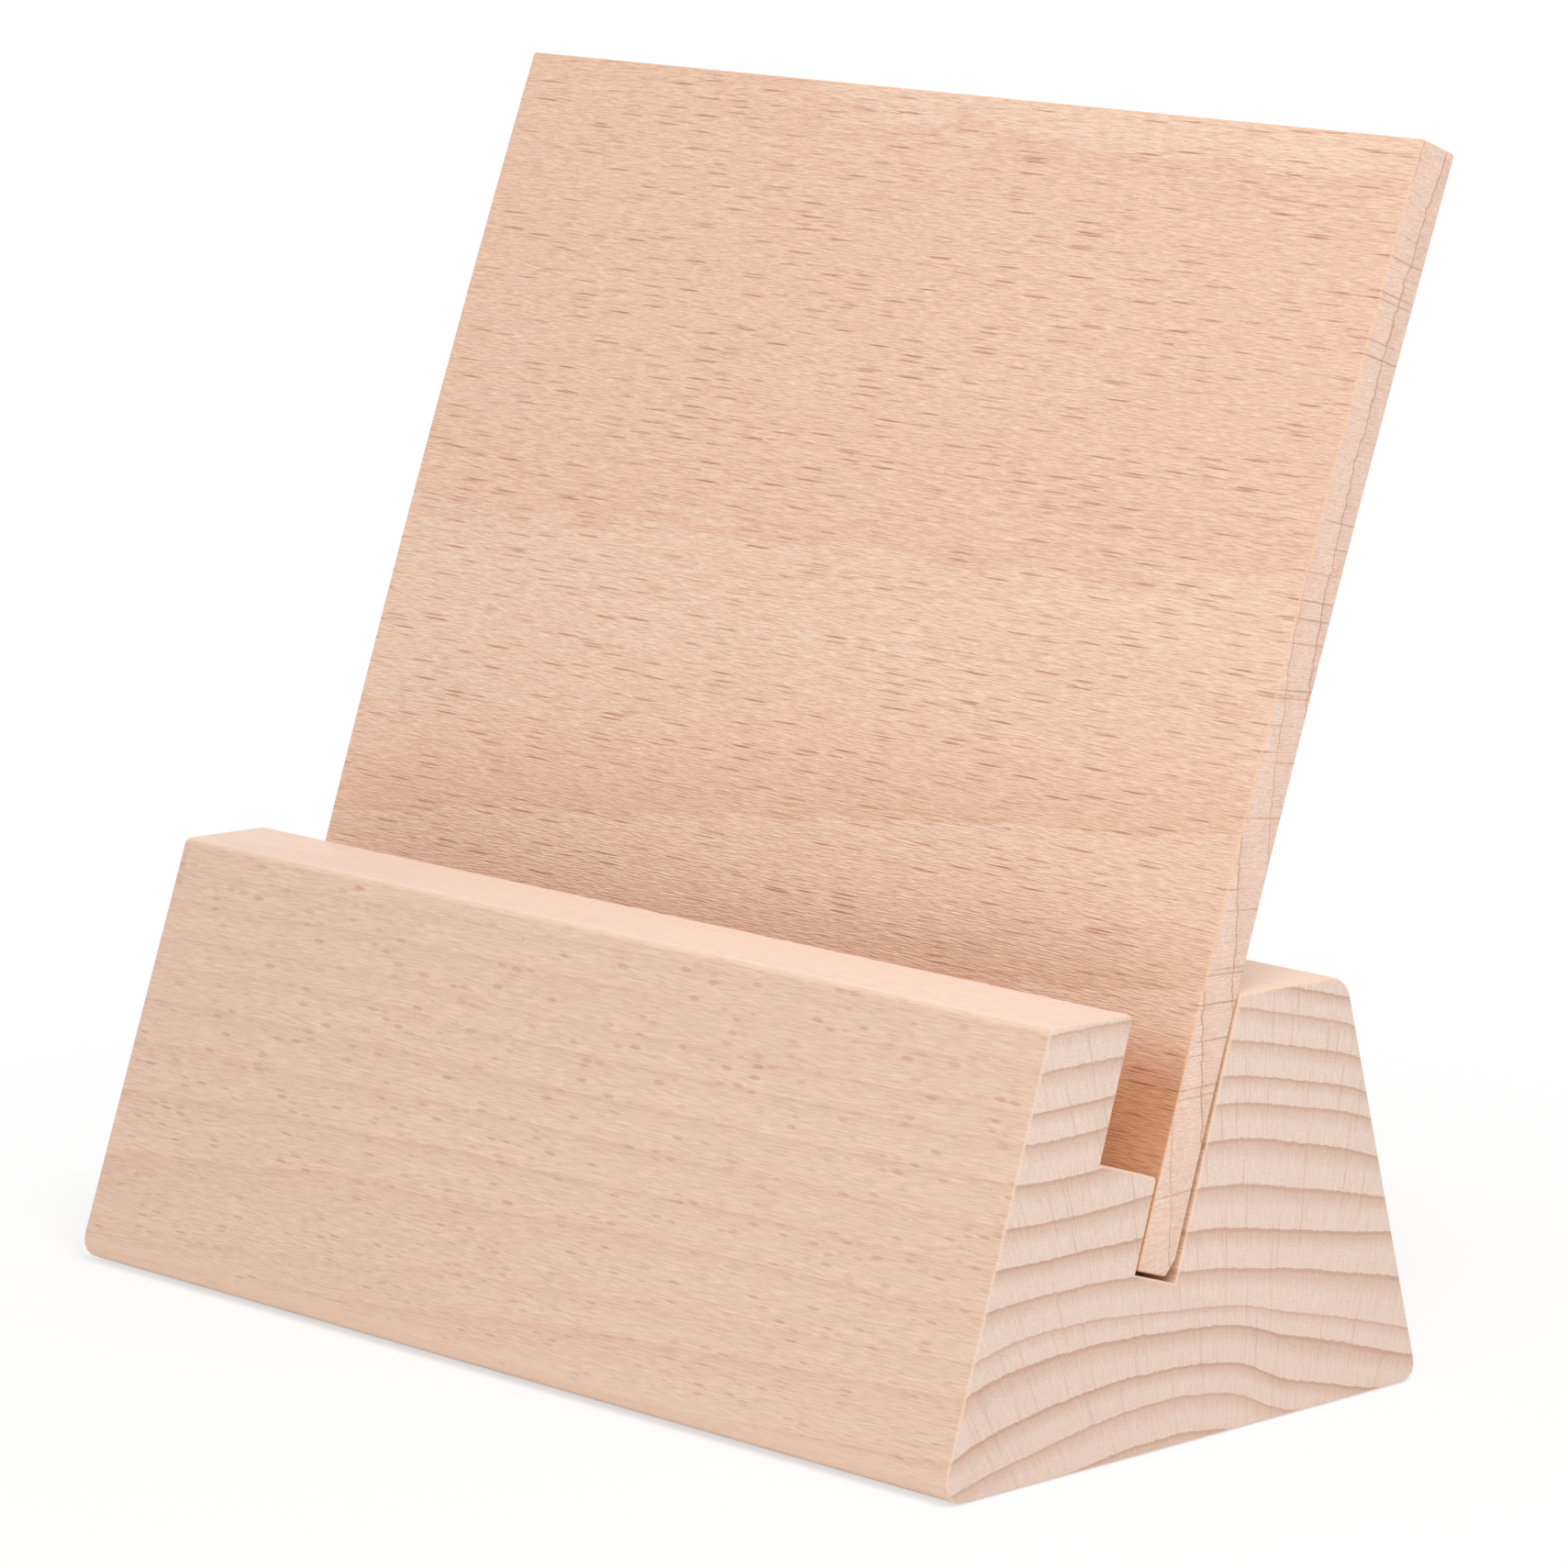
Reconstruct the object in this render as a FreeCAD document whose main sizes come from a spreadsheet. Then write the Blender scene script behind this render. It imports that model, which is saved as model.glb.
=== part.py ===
import FreeCAD, Part
import math
import os
import Sketcher

# Photo block holder: a solid beech block with a leaning slot along its top, and a thin board,
# slightly cupped, that stands in the deep rear part of the slot. Millimetres and degrees.
# +X runs along the slot, +Y to the rear, +Z up; the origin is the centre of the block's underside.

# Driving sizes: name, value, what it measures
SIZES = (
    ("block_width", 120.0, "block, along the slot"),
    ("block_depth", 62.6, "underside, front to rear"),
    ("block_height", 40.8, "front top edge above the underside"),
    ("top_fall", 1.0, "how much lower the rear top edge is"),
    ("front_setback", 13.6, "front top edge behind the front bottom edge"),
    ("rear_setback", 10.6, "rear top edge in front of the rear bottom edge"),
    ("front_limb_top", 10.5, "width of the front limb at the rim"),
    ("slot_lean", 17.8, "slot walls, degrees from upright"),
    ("ledge_width", 7.7, "ledge, across the slot"),
    ("ledge_depth", 13.7, "ledge below the front rim, along the walls"),
    ("groove_width", 5.45, "groove, across the slot"),
    ("groove_depth", 8.9, "groove floor below the ledge, along the walls"),
    ("front_bottom_round", 2.2, "radius"),
    ("front_top_round", 0.8, "radius"),
    ("front_rim_round", 0.7, "radius"),
    ("nose_round", 0.5, "radius of the ledge's edge over the groove"),
    ("rear_rim_round", 0.6, "radius"),
    ("rear_top_round", 2.8, "radius"),
    ("rear_bottom_round", 1.6, "radius"),
    ("end_arris", 0.25, "radius round both ends of the block"),
    ("board_width", 119.2, "board, along the slot"),
    ("board_shift", 0.3, "board's middle to the right of the block's"),
    ("board_height", 104.5, "straight from foot to top"),
    ("board_thickness", 4.7, "board"),
    ("board_cup", 0.9, "bulge of the front face over the whole height"),
    ("board_lean", 20.1, "straight line from foot to top, degrees from upright"),
    ("board_easing", 0.25, "radius of every edge of the board"),
    ("foot_chamfer_rise", 2.0, "chamfer at the rear of the foot, up the board"),
    ("foot_chamfer_depth", 0.9, "the same, into the thickness"),
    ("foot_front_gap", 0.2, "clearance, foot to the groove's front wall"),
    ("foot_gap", 0.4, "clearance, foot to the groove's floor"),
    ("cut_overrun", 12.0, "how far a cut runs past the wood"),
)
VALUE = {name: number for name, number, note in SIZES}

# How a sketch counts its places: ends and centre of a line or arc, its origin, its upright axis
START = 1
END = 2
CENTRE = 3
ORIGIN = -1
UPRIGHT = -2

# Where the slot's front wall meets the sloping top: the slot is drawn from this rim
TOP_DEPTH = "(Sizes.block_depth - Sizes.front_setback - Sizes.rear_setback)"
RIM_Y = "(Sizes.front_setback + Sizes.front_limb_top - Sizes.block_depth / 2)"
RIM_Z = f"(Sizes.block_height - Sizes.top_fall * Sizes.front_limb_top / {TOP_DEPTH})"

# The board's foot, measured from the rim across the slot and down its walls
FOOT_ACROSS = "(Sizes.ledge_width + Sizes.foot_front_gap)"
FOOT_DOWN = "(Sizes.ledge_depth + Sizes.groove_depth - Sizes.foot_gap)"
FOOT_Y = f"{RIM_Y} + {FOOT_ACROSS} * cos(Sizes.slot_lean) - {FOOT_DOWN} * sin(Sizes.slot_lean)"
FOOT_Z = f"{RIM_Z} - {FOOT_ACROSS} * sin(Sizes.slot_lean) - {FOOT_DOWN} * cos(Sizes.slot_lean)"

# Both faces of the cupped board are arcs about one centre, behind the board at half its height
FRONT_RADIUS = "(Sizes.board_height ^ 2 / 4 + Sizes.board_cup ^ 2) / (2 * Sizes.board_cup)"
REAR_RADIUS = f"{FRONT_RADIUS} - Sizes.board_thickness"


def make_sheet(doc):
    sheet = doc.addObject("Spreadsheet::Sheet", "Sizes")
    for row, (name, number, note) in enumerate(SIZES, start=1):
        sheet.set(f"A{row}", name)
        sheet.set(f"B{row}", str(number))
        sheet.set(f"C{row}", note)
        sheet.setAlias(f"B{row}", name)
    doc.recompute()
    return sheet


# A sketch on the plane across the block, with x to the rear and y up
def end_view_sketch(body, name):
    sketch = body.newObject("Sketcher::SketchObject", name)
    plane = [item for item in body.Origin.OriginFeatures if item.Role == "YZ_Plane"][0]
    sketch.AttachmentSupport = (plane, [""])
    sketch.MapMode = "FlatFace"
    return sketch


# A closed polygon whose corners follow one another; returns the lines, each starting at its corner
def add_polygon(sketch, points):
    corners = [FreeCAD.Vector(x, y, 0) for x, y in points]
    lines = []
    for start, end in zip(corners, corners[1:] + corners[:1]):
        lines.append(sketch.addGeometry(Part.LineSegment(start, end), False))
    for line, following in zip(lines, lines[1:] + lines[:1]):
        sketch.addConstraint(Sketcher.Constraint("Coincident", line, END, following, START))
    return lines


# A named dimension driven by the sheet
def drive(sketch, kind, name, expression, *places):
    size = float(sketch.evalExpression(expression))
    index = sketch.addConstraint(Sketcher.Constraint(kind, *places, size))
    sketch.renameConstraint(index, name)
    sketch.setExpression(f"Constraints.{name}", expression)


# A pad or pocket from the sketch, running equally to both sides
def both_ways(body, kind, name, sketch, length):
    feature = body.newObject(kind, name)
    feature.Profile = sketch
    feature.SideType = "Symmetric"
    feature.setExpression("Length", length)
    return feature


# Name of the edge along X that passes nearest to a place in the end view
def edge_along(shape, y, z):
    best = None
    for number, edge in enumerate(shape.Edges, start=1):
        box = edge.BoundBox
        if box.XLength < VALUE["block_width"] / 2:
            continue
        away = math.hypot(box.Center.y - y, box.Center.z - z)
        if best is None or away < best[0]:
            best = (away, f"Edge{number}")
    return best[1]


def round_edges(body, name, base, edges, radius):
    fillet = body.newObject("PartDesign::Fillet", name)
    fillet.Base = (base, edges)
    fillet.setExpression("Radius", radius)
    return fillet


# The solid block before the slot: both long faces lean in towards the top
def block_blank(body):
    half, height = VALUE["block_depth"] / 2, VALUE["block_height"]
    sketch = end_view_sketch(body, "BlockSection")
    bottom, rear, top, front = add_polygon(sketch, (
        (-half, 0),
        (half, 0),
        (half - VALUE["rear_setback"], height - VALUE["top_fall"]),
        (-half + VALUE["front_setback"], height),
    ))
    sketch.addConstraint(Sketcher.Constraint("Symmetric", bottom, START, bottom, END, ORIGIN, START))
    sketch.addConstraint(Sketcher.Constraint("Horizontal", bottom))
    drive(sketch, "DistanceX", "depth", "Sizes.block_depth", bottom, START, bottom, END)
    drive(sketch, "DistanceX", "front_setback", "Sizes.front_setback", bottom, START, front, START)
    drive(sketch, "DistanceY", "front_height", "Sizes.block_height", bottom, START, front, START)
    drive(sketch, "DistanceX", "rear_setback", "Sizes.rear_setback", rear, END, rear, START)
    drive(sketch, "DistanceY", "rear_height", "Sizes.block_height - Sizes.top_fall", rear, START, rear, END)
    return both_ways(body, "PartDesign::Pad", "Blank", sketch, "Sizes.block_width")


# A cut through both ends, drawn from the rim in the slot's own lean: x across it, y up its walls
def slot_cut(body, name, left, right, depth):
    sketch = end_view_sketch(body, f"{name}Section")
    lean = FreeCAD.Rotation(FreeCAD.Vector(0, 0, 1), -VALUE["slot_lean"])
    sketch.AttachmentOffset = FreeCAD.Placement(FreeCAD.Vector(), lean)
    sketch.setExpression("AttachmentOffset.Rotation.Angle", "-Sizes.slot_lean")
    sketch.setExpression("AttachmentOffset.Base.x", RIM_Y)
    sketch.setExpression("AttachmentOffset.Base.y", RIM_Z)
    x0, x1, y0 = (float(sketch.evalExpression(text)) for text in (left, right, depth))
    y1 = VALUE["cut_overrun"]
    floor, rear, mouth, front = add_polygon(sketch, ((x0, -y0), (x1, -y0), (x1, y1), (x0, y1)))
    sketch.addConstraint(Sketcher.Constraint("Horizontal", floor))
    sketch.addConstraint(Sketcher.Constraint("Horizontal", mouth))
    sketch.addConstraint(Sketcher.Constraint("Vertical", rear))
    sketch.addConstraint(Sketcher.Constraint("Vertical", front))
    if x0:
        drive(sketch, "DistanceX", "front_wall", left, ORIGIN, START, floor, START)
    else:
        sketch.addConstraint(Sketcher.Constraint("PointOnObject", floor, START, UPRIGHT))
    drive(sketch, "DistanceX", "rear_wall", right, ORIGIN, START, floor, END)
    drive(sketch, "DistanceY", "depth", depth, floor, START, ORIGIN, START)
    drive(sketch, "DistanceY", "overrun", "Sizes.cut_overrun", ORIGIN, START, mouth, START)
    return both_ways(body, "PartDesign::Pocket", name, sketch, "Sizes.block_width + Sizes.cut_overrun")


# A place given across the slot and down its walls from the rim, in the end view
def slot_place(body, across, down):
    lean = math.radians(VALUE["slot_lean"])
    y = float(body.evalExpression(RIM_Y)) + across * math.cos(lean) - down * math.sin(lean)
    z = float(body.evalExpression(RIM_Z)) - across * math.sin(lean) - down * math.cos(lean)
    return y, z


def base_block(doc):
    body = doc.addObject("PartDesign::Body", "BaseBlock")
    body.Label = "base_block"
    blank = block_blank(body)
    both_widths = "Sizes.ledge_width + Sizes.groove_width"
    slot = slot_cut(body, "PhotoSlot", "0", both_widths, "Sizes.ledge_depth")
    groove = slot_cut(body, "BoardGroove", "Sizes.ledge_width", both_widths,
                      "Sizes.ledge_depth + Sizes.groove_depth")
    doc.recompute()
    if not blank.Shape.Volume > slot.Shape.Volume > groove.Shape.Volume:
        raise RuntimeError("a cut of the block takes no wood away")

    half, height = VALUE["block_depth"] / 2, VALUE["block_height"]
    rear_height = height - VALUE["top_fall"]
    slot_width = VALUE["ledge_width"] + VALUE["groove_width"]
    rear_wall_rise = slot_width * math.tan(math.radians(VALUE["slot_lean"]))
    corners = (
        ("FrontBottomRound", "front_bottom_round", (-half, 0)),
        ("FrontTopRound", "front_top_round", (-half + VALUE["front_setback"], height)),
        ("FrontRimRound", "front_rim_round", slot_place(body, 0, 0)),
        ("NoseRound", "nose_round", slot_place(body, VALUE["ledge_width"], VALUE["ledge_depth"])),
        ("RearRimRound", "rear_rim_round", slot_place(body, slot_width, -rear_wall_rise)),
        ("RearTopRound", "rear_top_round", (half - VALUE["rear_setback"], rear_height)),
        ("RearBottomRound", "rear_bottom_round", (half, 0)),
    )
    feature = groove
    for name, size, (y, z) in corners:
        edge = edge_along(feature.Shape, y, z)
        feature = round_edges(body, name, feature, [edge], f"Sizes.{size}")
        doc.recompute()

    ends = [f"Edge{number}" for number, edge in enumerate(feature.Shape.Edges, start=1)
            if edge.BoundBox.XLength < VALUE["end_arris"] / 2]
    round_edges(body, "EndArrises", feature, ends, "Sizes.end_arris")
    return body


# The board in its own lean: y through its thickness to the rear, z from its foot to its top
def board_section(body):
    height, thickness = VALUE["board_height"], VALUE["board_thickness"]
    sketch = end_view_sketch(body, "BoardSection")
    front_radius = float(sketch.evalExpression(FRONT_RADIUS))
    rear_radius = float(sketch.evalExpression(REAR_RADIUS))
    centre = FreeCAD.Vector(front_radius - VALUE["board_cup"], height / 2, 0)
    half_angle = math.asin(height / 2 / front_radius)
    chamfer_rise, chamfer_depth = VALUE["foot_chamfer_rise"], VALUE["foot_chamfer_depth"]

    # an arc runs with its angle, so both start at the top and end at the foot
    def face_arc(radius, foot_angle):
        circle = Part.Circle(centre, FreeCAD.Vector(0, 0, 1), radius)
        arc = Part.ArcOfCircle(circle, math.pi - half_angle, math.pi + foot_angle)
        return sketch.addGeometry(arc, False)

    front = face_arc(front_radius, half_angle)
    rear = face_arc(rear_radius, half_angle - chamfer_rise / rear_radius)
    top_front, foot_front = sketch.getPoint(front, START), sketch.getPoint(front, END)
    top_rear, chamfer_top = sketch.getPoint(rear, START), sketch.getPoint(rear, END)
    foot_rear = foot_front + FreeCAD.Vector(thickness - chamfer_depth, 0, 0)
    top = sketch.addGeometry(Part.LineSegment(top_front, top_rear), False)
    foot = sketch.addGeometry(Part.LineSegment(foot_front, foot_rear), False)
    chamfer = sketch.addGeometry(Part.LineSegment(foot_rear, chamfer_top), False)

    joined = (
        (front, END, ORIGIN, START), (front, CENTRE, rear, CENTRE),
        (front, START, top, START), (rear, START, top, END),
        (front, END, foot, START), (foot, END, chamfer, START), (rear, END, chamfer, END),
    )
    for places in joined:
        sketch.addConstraint(Sketcher.Constraint("Coincident", *places))
    sketch.addConstraint(Sketcher.Constraint("PointOnObject", front, START, UPRIGHT))
    # the top and the foot are square to the faces, so their lines point at the centre
    sketch.addConstraint(Sketcher.Constraint("PointOnObject", front, CENTRE, top))
    sketch.addConstraint(Sketcher.Constraint("PointOnObject", front, CENTRE, foot))
    drive(sketch, "DistanceY", "height", "Sizes.board_height", front, END, front, START)
    drive(sketch, "Radius", "front_radius", FRONT_RADIUS, front)
    drive(sketch, "Radius", "rear_radius", REAR_RADIUS, rear)
    drive(sketch, "Distance", "foot_width", "Sizes.board_thickness - Sizes.foot_chamfer_depth",
          foot, START, foot, END)
    drive(sketch, "DistanceY", "chamfer_rise", "Sizes.foot_chamfer_rise", chamfer, START, chamfer, END)
    return sketch


def back_board(doc):
    body = doc.addObject("PartDesign::Body", "BackBoard")
    body.Label = "back_board"
    pad = both_ways(body, "PartDesign::Pad", "Board", board_section(body), "Sizes.board_width")
    doc.recompute()
    easing = round_edges(body, "Easing", pad, ["Edge1"], "Sizes.board_easing")
    easing.UseAllEdges = True

    # it stands in the groove, leaning back
    lean = FreeCAD.Rotation(FreeCAD.Vector(1, 0, 0), -VALUE["board_lean"])
    body.Placement = FreeCAD.Placement(FreeCAD.Vector(), lean)
    body.setExpression("Placement.Rotation.Angle", "-Sizes.board_lean")
    body.setExpression("Placement.Base.x", "Sizes.board_shift")
    body.setExpression("Placement.Base.y", FOOT_Y)
    body.setExpression("Placement.Base.z", FOOT_Z)
    return body


doc = FreeCAD.newDocument("PhotoBlockHolder")
make_sheet(doc)
pieces = (base_block(doc), back_board(doc))
doc.recompute()

for item in doc.Objects:
    if "Invalid" in item.State or "Error" in item.State:
        raise RuntimeError(f"{item.Name} failed: {item.State}")

os.makedirs("parts", exist_ok=True)
for piece in pieces:
    if piece.Shape.isNull() or not piece.Shape.isValid() or len(piece.Shape.Solids) != 1:
        raise RuntimeError(f"{piece.Label} is not one valid solid")
    piece.Shape.exportStep(f"parts/{piece.Label}.step")
    box = piece.Shape.BoundBox
    print(f"{piece.Label}: {piece.Shape.Volume:.0f} mm3, "
          f"x {box.XMin:.2f} to {box.XMax:.2f}, y {box.YMin:.2f} to {box.YMax:.2f}, "
          f"z {box.ZMin:.2f} to {box.ZMax:.2f}")
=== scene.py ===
import math

import bmesh
import bpy
from mathutils import Matrix, Vector


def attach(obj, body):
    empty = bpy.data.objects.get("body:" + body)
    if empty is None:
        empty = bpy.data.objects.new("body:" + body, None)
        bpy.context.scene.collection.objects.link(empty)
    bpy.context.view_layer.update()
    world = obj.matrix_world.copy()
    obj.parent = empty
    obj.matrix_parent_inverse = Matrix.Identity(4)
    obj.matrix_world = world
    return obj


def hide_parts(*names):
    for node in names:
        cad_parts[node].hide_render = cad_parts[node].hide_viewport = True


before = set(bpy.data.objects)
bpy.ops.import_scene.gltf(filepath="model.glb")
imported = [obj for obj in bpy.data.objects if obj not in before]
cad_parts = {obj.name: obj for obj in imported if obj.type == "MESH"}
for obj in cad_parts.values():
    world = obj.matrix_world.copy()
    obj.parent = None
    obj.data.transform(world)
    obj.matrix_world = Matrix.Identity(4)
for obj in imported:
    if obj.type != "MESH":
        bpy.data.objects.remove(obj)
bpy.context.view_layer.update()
mm = 0.001


# The block
# One solid piece of beech, sawn with leaning front and rear faces. A slot is milled along its top
# and out through both ends, then a narrower groove at its rear. All long edges are sanded round.

block_width = 120.0 * mm
block_depth = 62.6 * mm
block_height = 40.8 * mm
top_fall = 1.0 * mm
front_setback = 13.6 * mm
rear_setback = 10.6 * mm
left_end_lean = 1.2 * mm
front_limb_top = 10.5 * mm
slot_lean = math.radians(17.8)
ledge_width = 7.7 * mm
ledge_depth = 13.7 * mm
groove_width = 5.45 * mm
groove_depth = 8.9 * mm
cutter_overrun = 12.0 * mm
end_arris = 0.25 * mm
smooth_below = math.radians(35)

half_depth = block_depth / 2
top_depth = block_depth - front_setback - rear_setback
slot_width = ledge_width + groove_width

# across the slot to the rear, up along it, and its corner on the front limb
across = Vector((0, math.cos(slot_lean), -math.sin(slot_lean)))
upward = Vector((0, math.sin(slot_lean), math.cos(slot_lean)))
rim = Vector((0, front_setback + front_limb_top - half_depth,
              block_height - top_fall * front_limb_top / top_depth))


# In edit mode, select only the corners, edges or faces that pass the test
def pick(piece, kind, wanted):
    bpy.ops.mesh.select_all(action="DESELECT")
    bpy.ops.mesh.select_mode(type=kind)
    mesh = bmesh.from_edit_mesh(piece.data)
    for item in {"VERT": mesh.verts, "EDGE": mesh.edges, "FACE": mesh.faces}[kind]:
        if wanted(item):
            item.select_set(True)
    mesh.select_flush_mode()
    bmesh.update_edit_mesh(piece.data)


# Is this edge one of the long ones, and does it pass through that place in the end view?
def runs_along(edge, y, z):
    ends = [corner.co for corner in edge.verts]
    return (abs(ends[0].x - ends[1].x) > block_width / 2
            and all(math.hypot(end.y - y, end.z - z) < 0.3 * mm for end in ends))


# Round the selected edges to a radius: a bevel starts at the tangent points of that round
def round_selected(piece, radius, steps):
    mesh = bmesh.from_edit_mesh(piece.data)
    turn = [edge.calc_face_angle() for edge in mesh.edges if edge.select][0]
    bpy.ops.mesh.bevel(offset_type="OFFSET", offset=radius * math.tan(turn / 2),
                       segments=steps, profile=0.5, affect="EDGES")


# Round the rim of the selected end face: it is stepped in and out along a quarter circle
def ease_face(radius, steps):
    for step in range(steps):
        before, after = (math.pi / 2 * turn / steps for turn in (step, step + 1))
        bpy.ops.mesh.inset(thickness=radius * (math.cos(before) - math.cos(after)),
                           depth=radius * (math.sin(after) - math.sin(before)),
                           use_even_offset=True)


# Mark the corners inside the rounded edges, where every face around is a narrow one
def mark_rounds(piece, widest):
    mesh = bmesh.from_edit_mesh(piece.data)
    # the mark carries wear and a painted highlight on the rounds
    wear_and_highlight = mesh.verts.layers.float.new("arris")
    for corner in mesh.verts:
        widths = [2 * face.calc_area() / face.calc_perimeter() for face in corner.link_faces]
        corner[wear_and_highlight] = 1.0 if max(widths) < widest else 0.0
    bmesh.update_edit_mesh(piece.data)


# Shade the rounds smoothly and keep the sharp edges sharp
def smooth_rounds(piece):
    bpy.ops.object.select_all(action="DESELECT")
    piece.select_set(True)
    bpy.ops.object.shade_smooth_by_angle(angle=smooth_below)


# A plain box, leaned back about its middle
def start_box(name, size, place, lean):
    bpy.ops.object.select_all(action="DESELECT")
    bpy.ops.mesh.primitive_cube_add(size=1, location=place, rotation=(-lean, 0, 0), scale=size)
    box = bpy.context.object
    box.name = name
    bpy.ops.object.transform_apply(location=True, rotation=True, scale=True)
    return box


# Cut along the whole slot, from front across to the rear wall, down to depth below the rim
def mill(piece, front, depth):
    width = slot_width - front
    height = depth + cutter_overrun
    middle = rim + across * (front + width / 2) + upward * (cutter_overrun - height / 2)
    cutter = start_box("cutter", (block_width + cutter_overrun, width, height), middle, slot_lean)
    bpy.ops.object.select_all(action="DESELECT")
    piece.select_set(True)
    bpy.context.view_layer.objects.active = piece
    cut = piece.modifiers.new("milled", "BOOLEAN")
    cut.operation = "DIFFERENCE"
    cut.solver = "EXACT"
    cut.object = cutter
    bpy.ops.object.modifier_apply(modifier=cut.name)
    bpy.data.objects.remove(cutter, do_unlink=True)


block = start_box("beech_block", (block_width - 2 * end_arris, block_depth, block_height),
                  (0, 0, block_height / 2), 0)
bpy.ops.object.mode_set(mode="EDIT")
pick(block, "EDGE", lambda edge: runs_along(edge, -half_depth, block_height))
bpy.ops.transform.translate(value=(0, front_setback, 0))
pick(block, "EDGE", lambda edge: runs_along(edge, half_depth, block_height))
bpy.ops.transform.translate(value=(0, -rear_setback, -top_fall))
pick(block, "VERT", lambda corner: corner.co.x < 0 and corner.co.z > block_height / 2)
bpy.ops.transform.translate(value=(left_end_lean, 0, 0))
bpy.ops.object.mode_set(mode="OBJECT")
mill(block, 0, ledge_depth)
mill(block, ledge_width, ledge_depth + groove_depth)

# the long edges in the end view, each with the radius of its round
top_slope = math.atan(top_fall / top_depth)
along_top = Vector((0, math.cos(top_slope), -math.sin(top_slope)))
front_foot = (-half_depth, 0)
front_top = (-half_depth + front_setback, block_height)
nose = rim + across * ledge_width - upward * ledge_depth
rear_rim = rim + along_top * slot_width / math.cos(slot_lean - top_slope)
rear_top = (half_depth - rear_setback, block_height - top_fall)
rear_foot = (half_depth, 0)
long_rounds = ((front_foot, 2.3 * mm), (front_top, 0.8 * mm), (rim.yz, 0.7 * mm),
               (nose.yz, 0.5 * mm), (rear_rim.yz, 0.6 * mm), (rear_top, 2.8 * mm),
               (rear_foot, 1.65 * mm))
bpy.ops.object.mode_set(mode="EDIT")
for (y, z), radius in long_rounds:
    pick(block, "EDGE", lambda edge: runs_along(edge, y, z))
    round_selected(block, radius, steps=6)
for side in (-1, 1):
    pick(block, "FACE", lambda face: face.normal.x * side > 0.99)
    ease_face(end_arris, steps=3)
mark_rounds(block, widest=1.2 * mm)
bpy.ops.object.mode_set(mode="OBJECT")
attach(block, "block")
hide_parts("base_block")
smooth_rounds(block)


# The look of beech: its growth rings, rays and fibres run through the solid, so each face cuts them
# as a real saw cut does. These helpers add shader nodes to the material in hand, which is tree.
def add_node(kind, **settings):
    made = tree.nodes.new("ShaderNode" + kind)
    for name, value in settings.items():
        setattr(made, name, value)
    return made


def feed(socket, value):
    if isinstance(value, bpy.types.NodeSocket):
        tree.links.new(value, socket)
    else:
        socket.default_value = value


def calc(operation, *values):
    made = add_node("Math", operation=operation)
    for socket, value in zip(made.inputs, values):
        feed(socket, value)
    return made.outputs[0]


# Carry a value from one range over to another, and hold it there
def spread(value, low, high, to_low=0.0, to_high=1.0, shape="SMOOTHSTEP"):
    made = add_node("MapRange", interpolation_type=shape)
    for name, number in zip(("Value", "From Min", "From Max", "To Min", "To Max"),
                            (value, low, high, to_low, to_high)):
        feed(made.inputs[name], number)
    return made.outputs[0]


# A curve drawn through knots of (value, result)
def follow(value, knots, handle="AUTO"):
    low, high = knots[0][0], knots[-1][0]
    bottom, top = min(knot[1] for knot in knots), max(knot[1] for knot in knots)
    places = [((knot[0] - low) / (high - low), (knot[1] - bottom) / (top - bottom)) for knot in knots]
    made = add_node("FloatCurve")
    feed(made.inputs["Value"], spread(value, low, high, shape="LINEAR"))
    line = made.mapping.curves[0]
    line.points[0].location, line.points[1].location = places[0], places[-1]
    for place in places[1:-1]:
        line.points.new(*place)
    for point in line.points:
        point.handle_type = handle
    made.mapping.update()
    return spread(made.outputs[0], 0, 1, bottom, top, "LINEAR")


def blend(share, first, second, how="MIX"):
    made = add_node("Mix", data_type="RGBA", blend_type=how, clamp_result=True)
    feed(made.inputs[0], share)
    feed(made.inputs[6], first)
    feed(made.inputs[7], second)
    return made.outputs[2]


def place_of(along, second, third):
    made = add_node("CombineXYZ")
    for socket, value in zip(made.inputs, (along, second, third)):
        feed(socket, value)
    return made.outputs[0]


# Cloudy noise whose clouds have these lengths along the three directions, from -1 to 1 or so
def noise(place, lengths, detail=2.0):
    sized = add_node("Mapping")
    feed(sized.inputs["Vector"], place)
    sized.inputs["Scale"].default_value = [1 / length for length in lengths]
    made = add_node("TexNoise")
    feed(made.inputs["Vector"], sized.outputs[0])
    made.inputs["Scale"].default_value = 1.0
    made.inputs["Detail"].default_value = detail
    return spread(made.outputs[0], 0.2, 0.8, -1, 1, "LINEAR")


# How squarely the surface faces along an axis of the frame: 0 is X, 1 is Y and 2 is Z
def facing(axis):
    parts = add_node("SeparateXYZ")
    feed(parts.inputs[0], add_node("TexCoord").outputs["Normal"])
    return calc("ABSOLUTE", parts.outputs[axis])


# Start a material, and give the place in millimetres from centre, turned, as three parts
def paint_beech(name, centre, turn):
    global tree
    wood = bpy.data.materials.new(name)
    wood.use_nodes = True
    tree = wood.node_tree
    per_mm = 1 / mm
    local = add_node("Mapping", vector_type="POINT")
    feed(local.inputs["Vector"], add_node("TexCoord").outputs["Object"])
    local.inputs["Scale"].default_value = (per_mm, per_mm, per_mm)
    local.inputs["Rotation"].default_value = (turn, 0, 0)
    local.inputs["Location"].default_value = -(Matrix.Rotation(turn, 3, "X") @ (centre * per_mm))
    parts = add_node("SeparateXYZ")
    feed(parts.inputs[0], local.outputs[0])
    return wood, parts.outputs[0], parts.outputs[1], parts.outputs[2]


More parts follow.
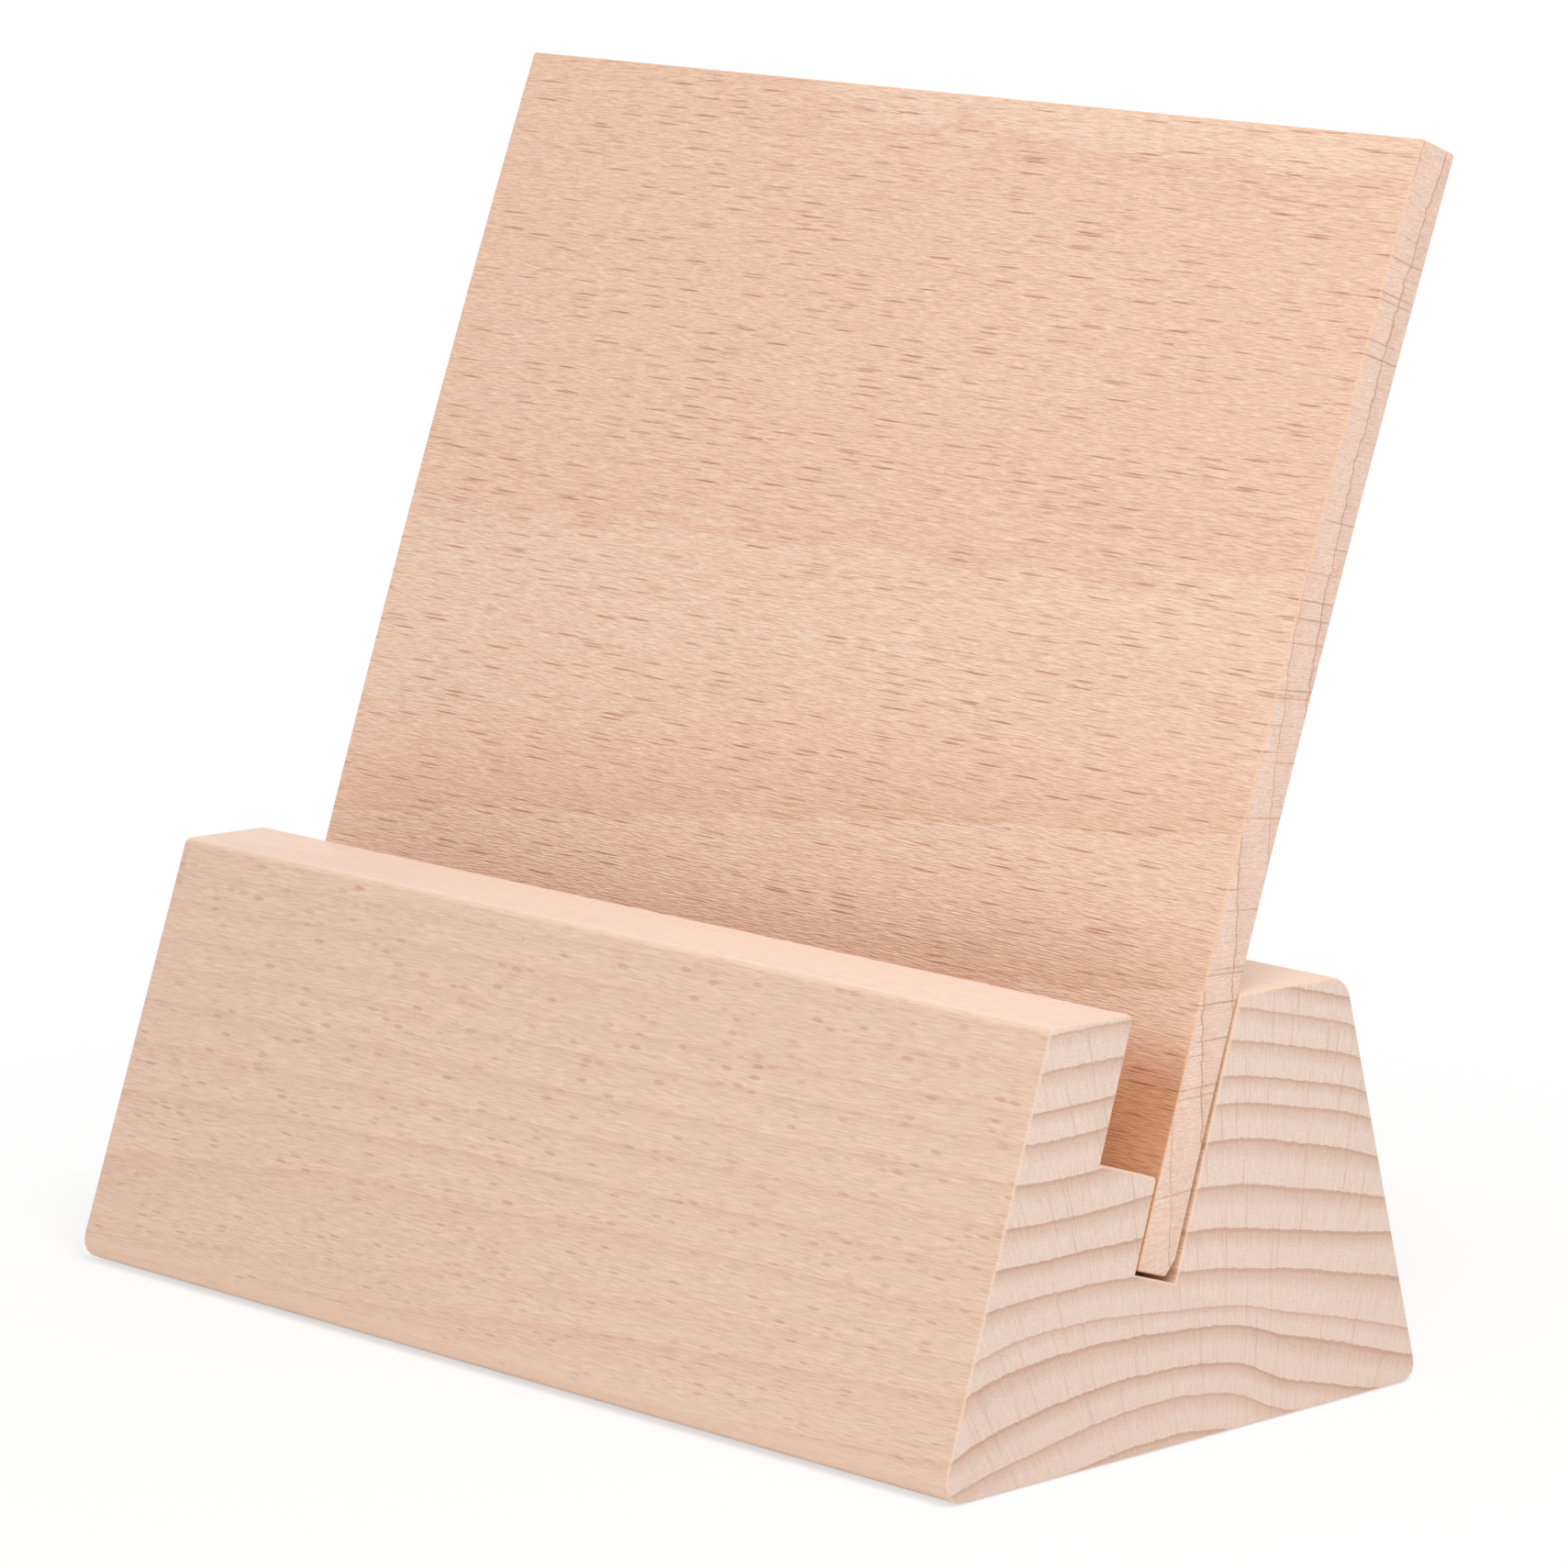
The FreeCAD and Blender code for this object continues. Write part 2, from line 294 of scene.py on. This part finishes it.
# The dark end of each year's ring, as a soft band and as a line at its very edge
def late_wood(radial, ring_edges, look):
    ring = follow(radial, [(edge, number) for number, edge in enumerate(ring_edges)], "VECTOR")
    phase = calc("FRACT", ring)
    year = add_node("TexWhiteNoise", noise_dimensions="1D")
    feed(year.inputs["W"], calc("FLOOR", ring))
    vigour = spread(year.outputs[0], 0, 1, 0.65, 1.0, "LINEAR")
    line_full = (look["line_start"] + 2) / 3
    band = calc("MULTIPLY", spread(phase, look["late_start"], 1.0), vigour)
    line = calc("MULTIPLY", spread(phase, look["line_start"], line_full), vigour)
    return band, line


# Rays: thin sheets that run out from the heart, seen as dashes on a face and as lines on an end, and
# hardly at all on the level faces. Each is a cell of a pattern, shrunk to a thin spot about its seed.
def rays(along, tangent, radial, look):
    spot = place_of(calc("DIVIDE", along, look["ray_length"]),
                    calc("DIVIDE", tangent, look["ray_gap"]),
                    calc("DIVIDE", radial, look["ray_depth"]))
    cells = add_node("TexVoronoi", voronoi_dimensions="3D", feature="F1")
    feed(cells.inputs["Vector"], spot)
    cells.inputs["Scale"].default_value = 1.0
    offset = add_node("VectorMath", operation="SUBTRACT")
    feed(offset.inputs[0], spot)
    feed(offset.inputs[1], cells.outputs["Position"])
    sized = add_node("VectorMath", operation="MULTIPLY")
    feed(sized.inputs[0], offset.outputs[0])
    sized.inputs[1].default_value = (2, 2 * look["ray_gap"] / look["ray_width"], 2)
    away = add_node("VectorMath", operation="LENGTH")
    feed(away.inputs[0], sized.outputs[0])
    lot = add_node("SeparateColor")
    feed(lot.inputs[0], cells.outputs["Color"])
    chosen = spread(lot.outputs[0], 1 - look["ray_share"], 1.0, 0, 1, "LINEAR")
    ray = calc("MULTIPLY", spread(away.outputs["Value"], 1.0, 0.5), chosen)
    return calc("MULTIPLY", ray, spread(facing(2), 0.7, 0.9, 1.0, 0.15))


# Fibres: fine streaks that an end cut shows as specks, with combed lines across its rings. Their
# relief is given, and their tint, in which the dark ones are redder and the light ones creamier.
def fibres(place, end, look):
    fine = noise(place, look["fibre"])
    streak = noise(place, (25, 0.6, 0.6))
    comb = noise(place, (2, 0.22, 2.2), detail=1.0)
    on_cut = spread(end, 0, 1, look["fine_on_face"], look["fine_on_end"], "LINEAR")
    shade = calc("ADD", calc("MULTIPLY", fine, on_cut),
                 calc("ADD", calc("MULTIPLY", streak, look["streak"]),
                      calc("MULTIPLY", comb, calc("MULTIPLY", end, look["comb_on_end"]))))
    tint = place_of(*(calc("MULTIPLY_ADD", shade, share, 1.0) for share in (0.7, 1.0, 1.2)))
    return fine, tint


# Colour and relief of beech, from its place along the grain, round the rings and out from the heart.
# The shader and its colour are given back for the piece's own touches.
def finish_beech(along, tangent, radial, ring_edges, look):
    end = spread(facing(0), 0.6, 0.95)
    band, line = late_wood(radial, ring_edges, look)
    place = place_of(along, tangent, radial)
    tone = noise(place, (70, 9, 9), detail=3.0)
    face = blend(calc("MULTIPLY", band, look["ring_on_face"]), look["face"], look["face_late"])
    face = blend(calc("MULTIPLY", line, look["line_on_face"]), face, look["face_late"])
    face = blend(spread(tone, -1, 1, 0, look["tone"], "LINEAR"), face, look["face_deep"])
    cut = blend(calc("MULTIPLY", band, look["ring_on_end"]), look["end"], look["end_late"])
    cut = blend(calc("MULTIPLY", line, look["line_on_end"]), cut, look["end_line"])
    colour = blend(end, face, cut)

    ray = rays(along, tangent, radial, look)
    ray_strength = spread(end, 0, 1, look["ray_on_face"], look["ray_on_end"], "LINEAR")
    colour = blend(calc("MULTIPLY", ray, ray_strength), colour, look["ray"])
    fine, tint = fibres(place, end, look)
    colour = blend(1.0, colour, tint, "MULTIPLY")

    # the rounded edges are a little lighter and warmer: partly wear, partly a painted highlight where
    # they catch the light
    edge = add_node("Attribute", attribute_name="arris")
    colour = blend(calc("MULTIPLY", edge.outputs["Fac"], look["edge_wear_and_highlight"]), colour, look["edge"])

    shader = tree.nodes["Principled BSDF"]
    feed(shader.inputs["Base Color"], colour)
    feed(shader.inputs["Roughness"], spread(fine, -1, 1, 0.55, 0.72, "LINEAR"))
    relief = add_node("Bump")
    relief.inputs["Strength"].default_value = look["relief"]
    relief.inputs["Distance"].default_value = 0.1 * mm
    feed(relief.inputs["Height"], calc("SUBTRACT", fine, calc("MULTIPLY", ray, 0.8)))
    feed(shader.inputs["Normal"], relief.outputs[0])
    return shader, colour


# The block's rings as its right end shows them: nearly flat in the middle and falling to both sides.
# How far a ring has fallen is drawn at four heights, over stations across the end.
block_corner = Vector((block_width / 2, -half_depth, 0))
wood, along, depth, height = paint_beech("block_beech", block_corner, 0)
inward = calc("MULTIPLY", along, -1)
stations = (0, 15, 30, 45, 62)
sag = follow(depth, tuple(zip(stations, (4.0, 1.2, 0.2, 4.2, 8.5))))
for low, high, falls in ((3, 14, (1.5, -1.0, 0.3, 2.5, 5.5)),
                         (14, 26, (-1.5, 0.0, -0.5, 1.5, 9.0)),
                         (26, 38, (0.0, -0.5, -0.2, 2.5, 9.5))):
    above = follow(depth, tuple(zip(stations, falls)))
    share = spread(height, low, high, shape="LINEAR")
    sag = calc("ADD", sag, calc("MULTIPLY", share, calc("SUBTRACT", above, sag)))
# along the block they climb, wander and have fine teeth
drift = calc("MULTIPLY", inward, spread(height, 4, 24, 0.048, 0.017))
rough_place = place_of(along, depth, height)
wander_reach = spread(inward, 0, block_width / mm, 0.2, 1.2, "LINEAR")
wander = calc("MULTIPLY", noise(rough_place, (60, 14, 14)), wander_reach)
teeth = calc("MULTIPLY", noise(rough_place, (12, 0.7, 3)), 0.10)
radial = calc("ADD", calc("ADD", height, sag), calc("ADD", drift, calc("ADD", wander, teeth)))
# the rays fan out from a heart below the block, and are spaced as they are at ray_level
heart_depth, heart_below, ray_level = 38, 56, 20
fan = calc("MULTIPLY", calc("SUBTRACT", depth, heart_depth), heart_below + ray_level)
tangent = calc("DIVIDE", fan, calc("ADD", height, heart_below))
block_rings = (-2.0, 1.2, 4.6, 7.4, 10.9, 12.75, 16.2, 19.6, 23.25, 27.1, 30.55, 33.15, 36.55,
               39.7, 42.3, 45.1, 48.2, 51.3)
shader, colour = finish_beech(along, tangent, radial, block_rings, {
    "face": (0.835, 0.597, 0.463, 1), "face_late": (0.72, 0.44, 0.31, 1),
    "face_deep": (0.80, 0.545, 0.405, 1), "tone": 0.7,
    "end": (0.82, 0.635, 0.54, 1), "end_late": (0.60, 0.36, 0.25, 1),
    "end_line": (0.47, 0.22, 0.14, 1),
    "late_start": 0.40, "ring_on_face": 0.35, "ring_on_end": 0.65,
    "line_start": 0.86, "line_on_face": 0.40, "line_on_end": 0.35,
    "ray": (0.64, 0.35, 0.23, 1), "ray_on_face": 0.70, "ray_on_end": 0.35, "ray_share": 0.60,
    "ray_length": 2.0, "ray_gap": 0.7, "ray_width": 0.31, "ray_depth": 8.0,
    "fibre": (2.0, 0.18, 0.18), "fine_on_face": 0.17, "fine_on_end": 0.13,
    "comb_on_end": 0.08, "streak": 0.03, "relief": 0.35,
    # edge: wear and painted highlight on the rounds
    "edge": (0.93, 0.67, 0.51, 1), "edge_wear_and_highlight": 0.5})
# painted light: the faces that look up, the tops of the limbs among them, are made paler and pinker
# than the rest, as where the light falls
painted_top_light = blend(0.5, colour, (0.95, 0.78, 0.69, 1))
feed(shader.inputs["Base Color"], blend(spread(facing(2), 0.75, 1.0), colour, painted_top_light))
block.data.materials.clear()
block.data.materials.append(wood)


# The board
# A thin planed beech board that stands loose in the groove and leans on the rear rim. It has cupped
# a little, with its bulge to the front, and its foot is chamfered at the rear to find the groove.

board_width = 119.2 * mm
board_shift = 0.3 * mm
board_height = 104.5 * mm
board_thickness = 4.7 * mm
board_cup = 0.9 * mm
board_lean = math.radians(20.1)
board_easing = 0.25 * mm
chamfer_rise = 2.0 * mm
chamfer_depth = 0.9 * mm
foot_front_gap = 0.2 * mm
foot_gap = 0.4 * mm
cup_steps = 24
same_place = 0.001 * mm
foot_place = (rim + across * (ledge_width + foot_front_gap)
              - upward * (ledge_depth + groove_depth - foot_gap))
foot_place.x = board_shift

# drawn upright on its foot, then leaned back: both faces are arcs about one centre behind it
front_radius = (board_height ** 2 / 4 + board_cup ** 2) / (2 * board_cup)
cup_centre = Vector((0, front_radius - board_cup, board_height / 2))
half_turn = math.asin(board_height / 2 / front_radius)
bpy.ops.object.select_all(action="DESELECT")
bpy.ops.mesh.primitive_plane_add(
    size=1, rotation=(half_turn, 0, 0),
    location=(0, board_thickness / 2 * math.cos(half_turn), board_thickness / 2 * math.sin(half_turn)))
board = bpy.context.object
board.name = "beech_board"
board.scale = (board_width, board_thickness, 1)
bpy.ops.object.transform_apply(location=True, rotation=True, scale=True)
bpy.ops.object.mode_set(mode="EDIT")
bpy.ops.mesh.select_all(action="SELECT")
bpy.ops.mesh.spin(steps=cup_steps, angle=2 * half_turn, center=cup_centre, axis=(1, 0, 0))
bpy.ops.mesh.select_all(action="SELECT")
bpy.ops.mesh.remove_doubles(threshold=same_place)
bpy.ops.mesh.normals_make_consistent(inside=False)
chamfer_top = Vector((0, board_thickness, chamfer_rise))
chamfer_foot = Vector((0, board_thickness - chamfer_depth, 0))
slope = chamfer_top - chamfer_foot
bpy.ops.mesh.select_all(action="SELECT")
bpy.ops.mesh.bisect(plane_co=chamfer_foot, plane_no=(0, slope.z, -slope.y), use_fill=True,
                    clear_outer=True, threshold=same_place)
pick(board, "EDGE", lambda edge: edge.is_manifold and edge.calc_face_angle() > math.radians(20))
bpy.ops.mesh.bevel(offset_type="OFFSET", offset=board_easing, segments=4, profile=0.5,
                   affect="EDGES")
mark_rounds(board, widest=0.5 * mm)
bpy.ops.object.mode_set(mode="OBJECT")
board.rotation_euler = (-board_lean, 0, 0)
board.location = foot_place
bpy.ops.object.transform_apply(location=True, rotation=True, scale=True)
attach(board, "board")
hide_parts("back_board")
smooth_rounds(board)

# The board is sawn almost along its rings, which come out of its face as wide flames: a hill of
# rings whose top lies at flame_top. The hill widens to the left end, so heights are shrunk there.
wood, along, over, up = paint_beech("board_beech", foot_place, board_lean)
from_middle = calc("SUBTRACT", up, board_height / mm / 2)
bow = calc("DIVIDE", calc("POWER", from_middle, 2), 2 * front_radius / mm)
through = calc("SUBTRACT", calc("ADD", over, board_cup / mm), bow)
inward = calc("SUBTRACT", board_width / mm / 2, along)
flame_top, flame_length = 84, 500
shrunk = calc("SUBTRACT", 1, calc("DIVIDE", inward, flame_length))
flame = calc("ADD", flame_top, calc("MULTIPLY", calc("SUBTRACT", up, flame_top), shrunk))
hill = follow(flame, ((0, 17), (12, 13.4), (24, 9.2), (36, 5.4), (48, 2.6), (60, 0.8), (72, 0.15),
                      (85, 0), (97, 0.3), (104.5, 1.0)))
rough_place = place_of(along, through, up)
wander = calc("MULTIPLY", noise(rough_place, (50, 6, 12)), 0.35)
teeth = calc("MULTIPLY", noise(rough_place, (14, 2, 1.3)), 0.28)
radial = calc("ADD", calc("SUBTRACT", hill, through), calc("ADD", wander, teeth))
# the rays stand about square to the rings, which tilt more the further they lie below flame_top
tilt_per_mm = 0.0055
tilted = calc("MULTIPLY", calc("MULTIPLY", through, tilt_per_mm), calc("SUBTRACT", flame_top, up))
tangent = calc("SUBTRACT", up, tilted)
board_rings = (-6.6, -2.5, 0.6, 4.5, 8.7, 12.8, 17.0)
shader, colour = finish_beech(along, tangent, radial, board_rings, {
    "face": (0.965, 0.67, 0.50, 1), "face_late": (0.845, 0.50, 0.345, 1),
    "face_deep": (0.915, 0.595, 0.425, 1), "tone": 0.6,
    "end": (0.905, 0.645, 0.525, 1), "end_late": (0.83, 0.55, 0.43, 1),
    "end_line": (0.58, 0.30, 0.20, 1),
    "late_start": 0.35, "ring_on_face": 0.6, "ring_on_end": 0.5,
    "line_start": 0.94, "line_on_face": 0.3, "line_on_end": 0.85,
    "ray": (0.63, 0.31, 0.19, 1), "ray_on_face": 1.0, "ray_on_end": 0.75, "ray_share": 0.90,
    "ray_length": 4.6, "ray_gap": 0.7, "ray_width": 0.24, "ray_depth": 14.0,
    "fibre": (1.6, 0.13, 0.6), "fine_on_face": 0.26, "fine_on_end": 0.14,
    "comb_on_end": 0.09, "streak": 0.03, "relief": 0.6,
    # edge: wear and painted highlight on the rounds
    "edge": (0.94, 0.57, 0.37, 1), "edge_wear_and_highlight": 0.55})
# painted shade: down in the slot the board is given a deeper, warmer tone, as the slot shades it, but
# not on its ends
slot_shade_ends, slot_shade_full = 23.5, 15.5
painted_slot_shade = calc("MULTIPLY", spread(up, slot_shade_ends, slot_shade_full), spread(facing(0), 0.9, 0.6))
feed(shader.inputs["Base Color"], blend(painted_slot_shade, colour, (0.75, 0.59, 0.455, 1), "MULTIPLY"))
board.data.materials.clear()
board.data.materials.append(wood)


# The table and the light
# A sheet of white paper in an evenly white room, with one wide soft lamp high on the right. Away
# from the object the paper fades into the white of the room, and close by it keeps the shadow.

# 1 where the camera sees the surface, also in a mirror or through glass, and 0 for all other light
def seen():
    sight = add_node("LightPath")
    return calc("MAXIMUM", sight.outputs["Is Camera Ray"],
                calc("MAXIMUM", sight.outputs["Is Glossy Ray"], sight.outputs["Is Transmission Ray"]))


def blend_shaders(share, first, second):
    made = add_node("MixShader")
    for socket, value in zip(made.inputs, (share, first, second)):
        feed(socket, value)
    return made.outputs[0]


bpy.ops.object.select_all(action="DESELECT")
bpy.ops.mesh.primitive_plane_add(size=6, location=(0, 0, -0.1 * mm))
floor = bpy.context.object
floor.name = "floor"
paper = bpy.data.materials.new("white_paper")
paper.use_nodes = True
tree = paper.node_tree
diffuse = tree.nodes["Principled BSDF"]
diffuse.inputs["Base Color"].default_value = (0.97, 0.97, 0.97, 1)
diffuse.inputs["Roughness"].default_value = 0.9
away = add_node("VectorMath", operation="LENGTH")
feed(away.inputs[0], add_node("TexCoord").outputs["Object"])
glow = add_node("Emission")
glow.inputs["Color"].default_value = (1, 1, 1, 1)
fade_starts, fade_full = 40 * mm, 160 * mm
fade = calc("MULTIPLY", seen(), spread(away.outputs["Value"], fade_starts, fade_full, 0.6, 1.0))
feed(tree.nodes["Material Output"].inputs["Surface"],
     blend_shaders(fade, diffuse.outputs[0], glow.outputs[0]))
floor.data.materials.append(paper)

world = bpy.data.worlds.new("studio")
bpy.context.scene.world = world
world.use_nodes = True
tree = world.node_tree
sky = tree.nodes["Background"]
sky.inputs["Color"].default_value = (1, 1, 1, 1)
sky.inputs["Strength"].default_value = 0.59
white = add_node("Background")
white.inputs["Color"].default_value = (1, 1, 1, 1)
feed(tree.nodes["World Output"].inputs["Surface"],
     blend_shaders(seen(), sky.outputs[0], white.outputs[0]))

lamp_data = bpy.data.lights.new("key", "AREA")
lamp_data.shape = "DISK"
lamp_data.size = 0.8
lamp_data.energy = 7.4
lamp = bpy.data.objects.new("key", lamp_data)
lamp.location = (0.519, -0.254, 1.053)
lamp_target = Vector((0, 0, 0.05))
lamp.rotation_euler = (lamp_target - lamp.location).to_track_quat("-Z", "Y").to_euler()
bpy.context.scene.collection.objects.link(lamp)

# the photograph's viewpoint, worked out from the straight edges of the block and the board
camera_data = bpy.data.cameras.new("camera")
camera_data.lens = 170.885
camera_data.sensor_width = 36.0
camera_data.clip_start = 0.01
camera_data.clip_end = 20
camera = bpy.data.objects.new("camera", camera_data)
camera.location = (0.500614, -0.472613, 0.183362)
camera.rotation_euler = (math.radians(90 - 10.8095), math.radians(0.012), math.radians(46.194))
bpy.context.scene.collection.objects.link(camera)
bpy.context.scene.camera = camera
bpy.context.scene.view_settings.view_transform = "Standard"
